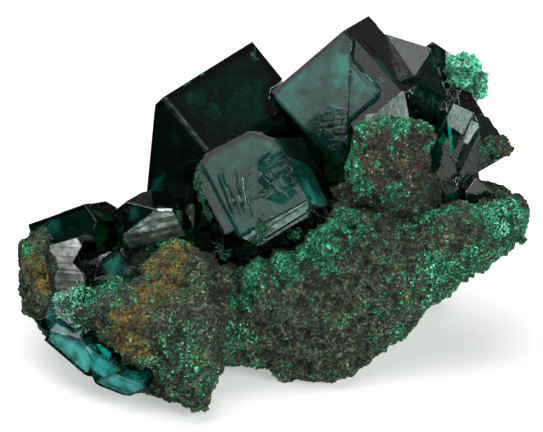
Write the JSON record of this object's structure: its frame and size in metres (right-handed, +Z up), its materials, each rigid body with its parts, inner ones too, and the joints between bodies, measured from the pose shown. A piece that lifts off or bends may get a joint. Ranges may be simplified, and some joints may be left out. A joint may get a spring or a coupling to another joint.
{
  "type": "mineral specimen",
  "caption": "Dioptase specimen: blocky dark emerald crystals with slanting end faces, grown on a loose lump of weathered ore matrix that rests on a flat cut.",
  "frame": {"origin": "middle of the specimen's box, at the height of the flat cut it rests on", "axes": "+X along the widest way towards the thin right wing, -Y towards the side with the large crystals, +Z up"},
  "size_m": [0.0496, 0.0387, 0.0297],
  "materials": {
    "matrix": "weathered, granular, iron-stained rock",
    "matrix_lump_perched": "weathered, granular, iron-stained rock",
    "matrix_lump_right": "weathered, granular, iron-stained rock",
    "druse_knob_top": "green crystal crust",
    "crystal_group_summit": "clear dark emerald crystal, glossy flat faces",
    "crystal_centre": "clear dark emerald crystal, glossy flat faces",
    "crystal_back_left": "clear dark emerald crystal, glossy flat faces",
    "crystal_left_front": "clear dark emerald crystal, glossy flat faces",
    "crystal_left_edge": "clear dark emerald crystal, glossy flat faces",
    "crystal_cluster_left": "clear dark emerald crystal, glossy flat faces",
    "crystal_small_left": "clear dark emerald crystal, glossy flat faces",
    "crystal_pocket_cube": "clear dark emerald crystal, glossy flat faces",
    "crystal_pocket_flat": "clear dark emerald crystal, glossy flat faces",
    "crystal_tip_near": "clear dark emerald crystal, glossy flat faces",
    "crystal_tip_far": "clear dark emerald crystal, glossy flat faces",
    "crystal_back_low_left": "clear dark emerald crystal, glossy flat faces",
    "crystal_back_middle": "clear dark emerald crystal, glossy flat faces",
    "crystal_back_right": "clear dark emerald crystal, glossy flat faces",
    "crystal_rim_left": "clear turquoise crystal, broken face"
  },
  "bodies": {
    "root": {"matrix": "matrix", "matrix_lump_perched": "matrix_lump_perched", "matrix_lump_right": "matrix_lump_right", "druse_knob_top": "druse_knob_top", "crystal_group_summit": "crystal_group_summit", "crystal_centre": "crystal_centre", "crystal_back_left": "crystal_back_left", "crystal_left_front": "crystal_left_front", "crystal_left_edge": "crystal_left_edge", "crystal_cluster_left": "crystal_cluster_left", "crystal_small_left": "crystal_small_left", "crystal_pocket_cube": "crystal_pocket_cube", "crystal_pocket_flat": "crystal_pocket_flat", "crystal_tip_near": "crystal_tip_near", "crystal_tip_far": "crystal_tip_far", "crystal_back_low_left": "crystal_back_low_left", "crystal_back_middle": "crystal_back_middle", "crystal_back_right": "crystal_back_right", "crystal_rim_left": "crystal_rim_left"}
  },
  "joints": []
}
